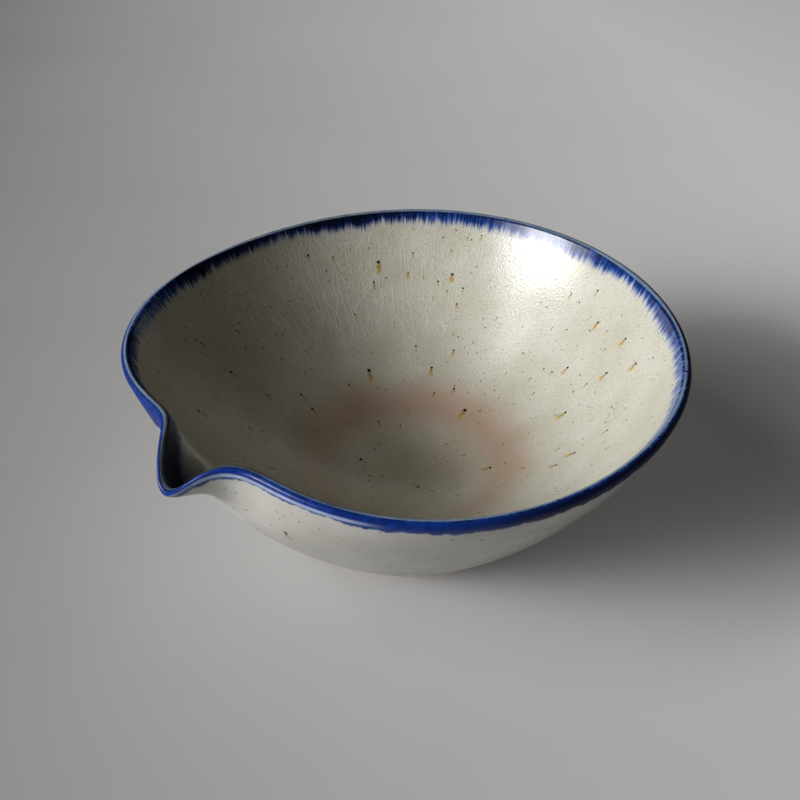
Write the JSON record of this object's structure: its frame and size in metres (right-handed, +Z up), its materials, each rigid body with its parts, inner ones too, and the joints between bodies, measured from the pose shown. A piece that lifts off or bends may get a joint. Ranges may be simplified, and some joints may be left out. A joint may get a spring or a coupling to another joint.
{
  "type": "katakuchi sake pourer",
  "caption": "Wide hand-thrown stoneware pouring bowl with a pinched spout, cobalt blue rim band and speckled pale glaze, for serving sake.",
  "frame": {"origin": "centre of the foot ring's resting face, on the surface that the pourer stands on", "axes": "+Z up along the axis of throwing, +X towards the tip of the spout, +Y to the left seen along +X"},
  "size_m": [0.149, 0.1415, 0.0601],
  "materials": {
    "stoneware": "bare fired stoneware, matt, slightly sandy",
    "pale_glaze": "satin pale grey-white glaze with fine crazing and iron specks",
    "cobalt_glaze": "glossy cobalt blue that feathers into the pale glaze"
  },
  "bodies": {
    "root": {"clay_body": "stoneware", "foot_ring": "stoneware", "inner_glaze": "pale_glaze", "outer_glaze": "pale_glaze", "cobalt_rim": "cobalt_glaze"}
  },
  "joints": []
}
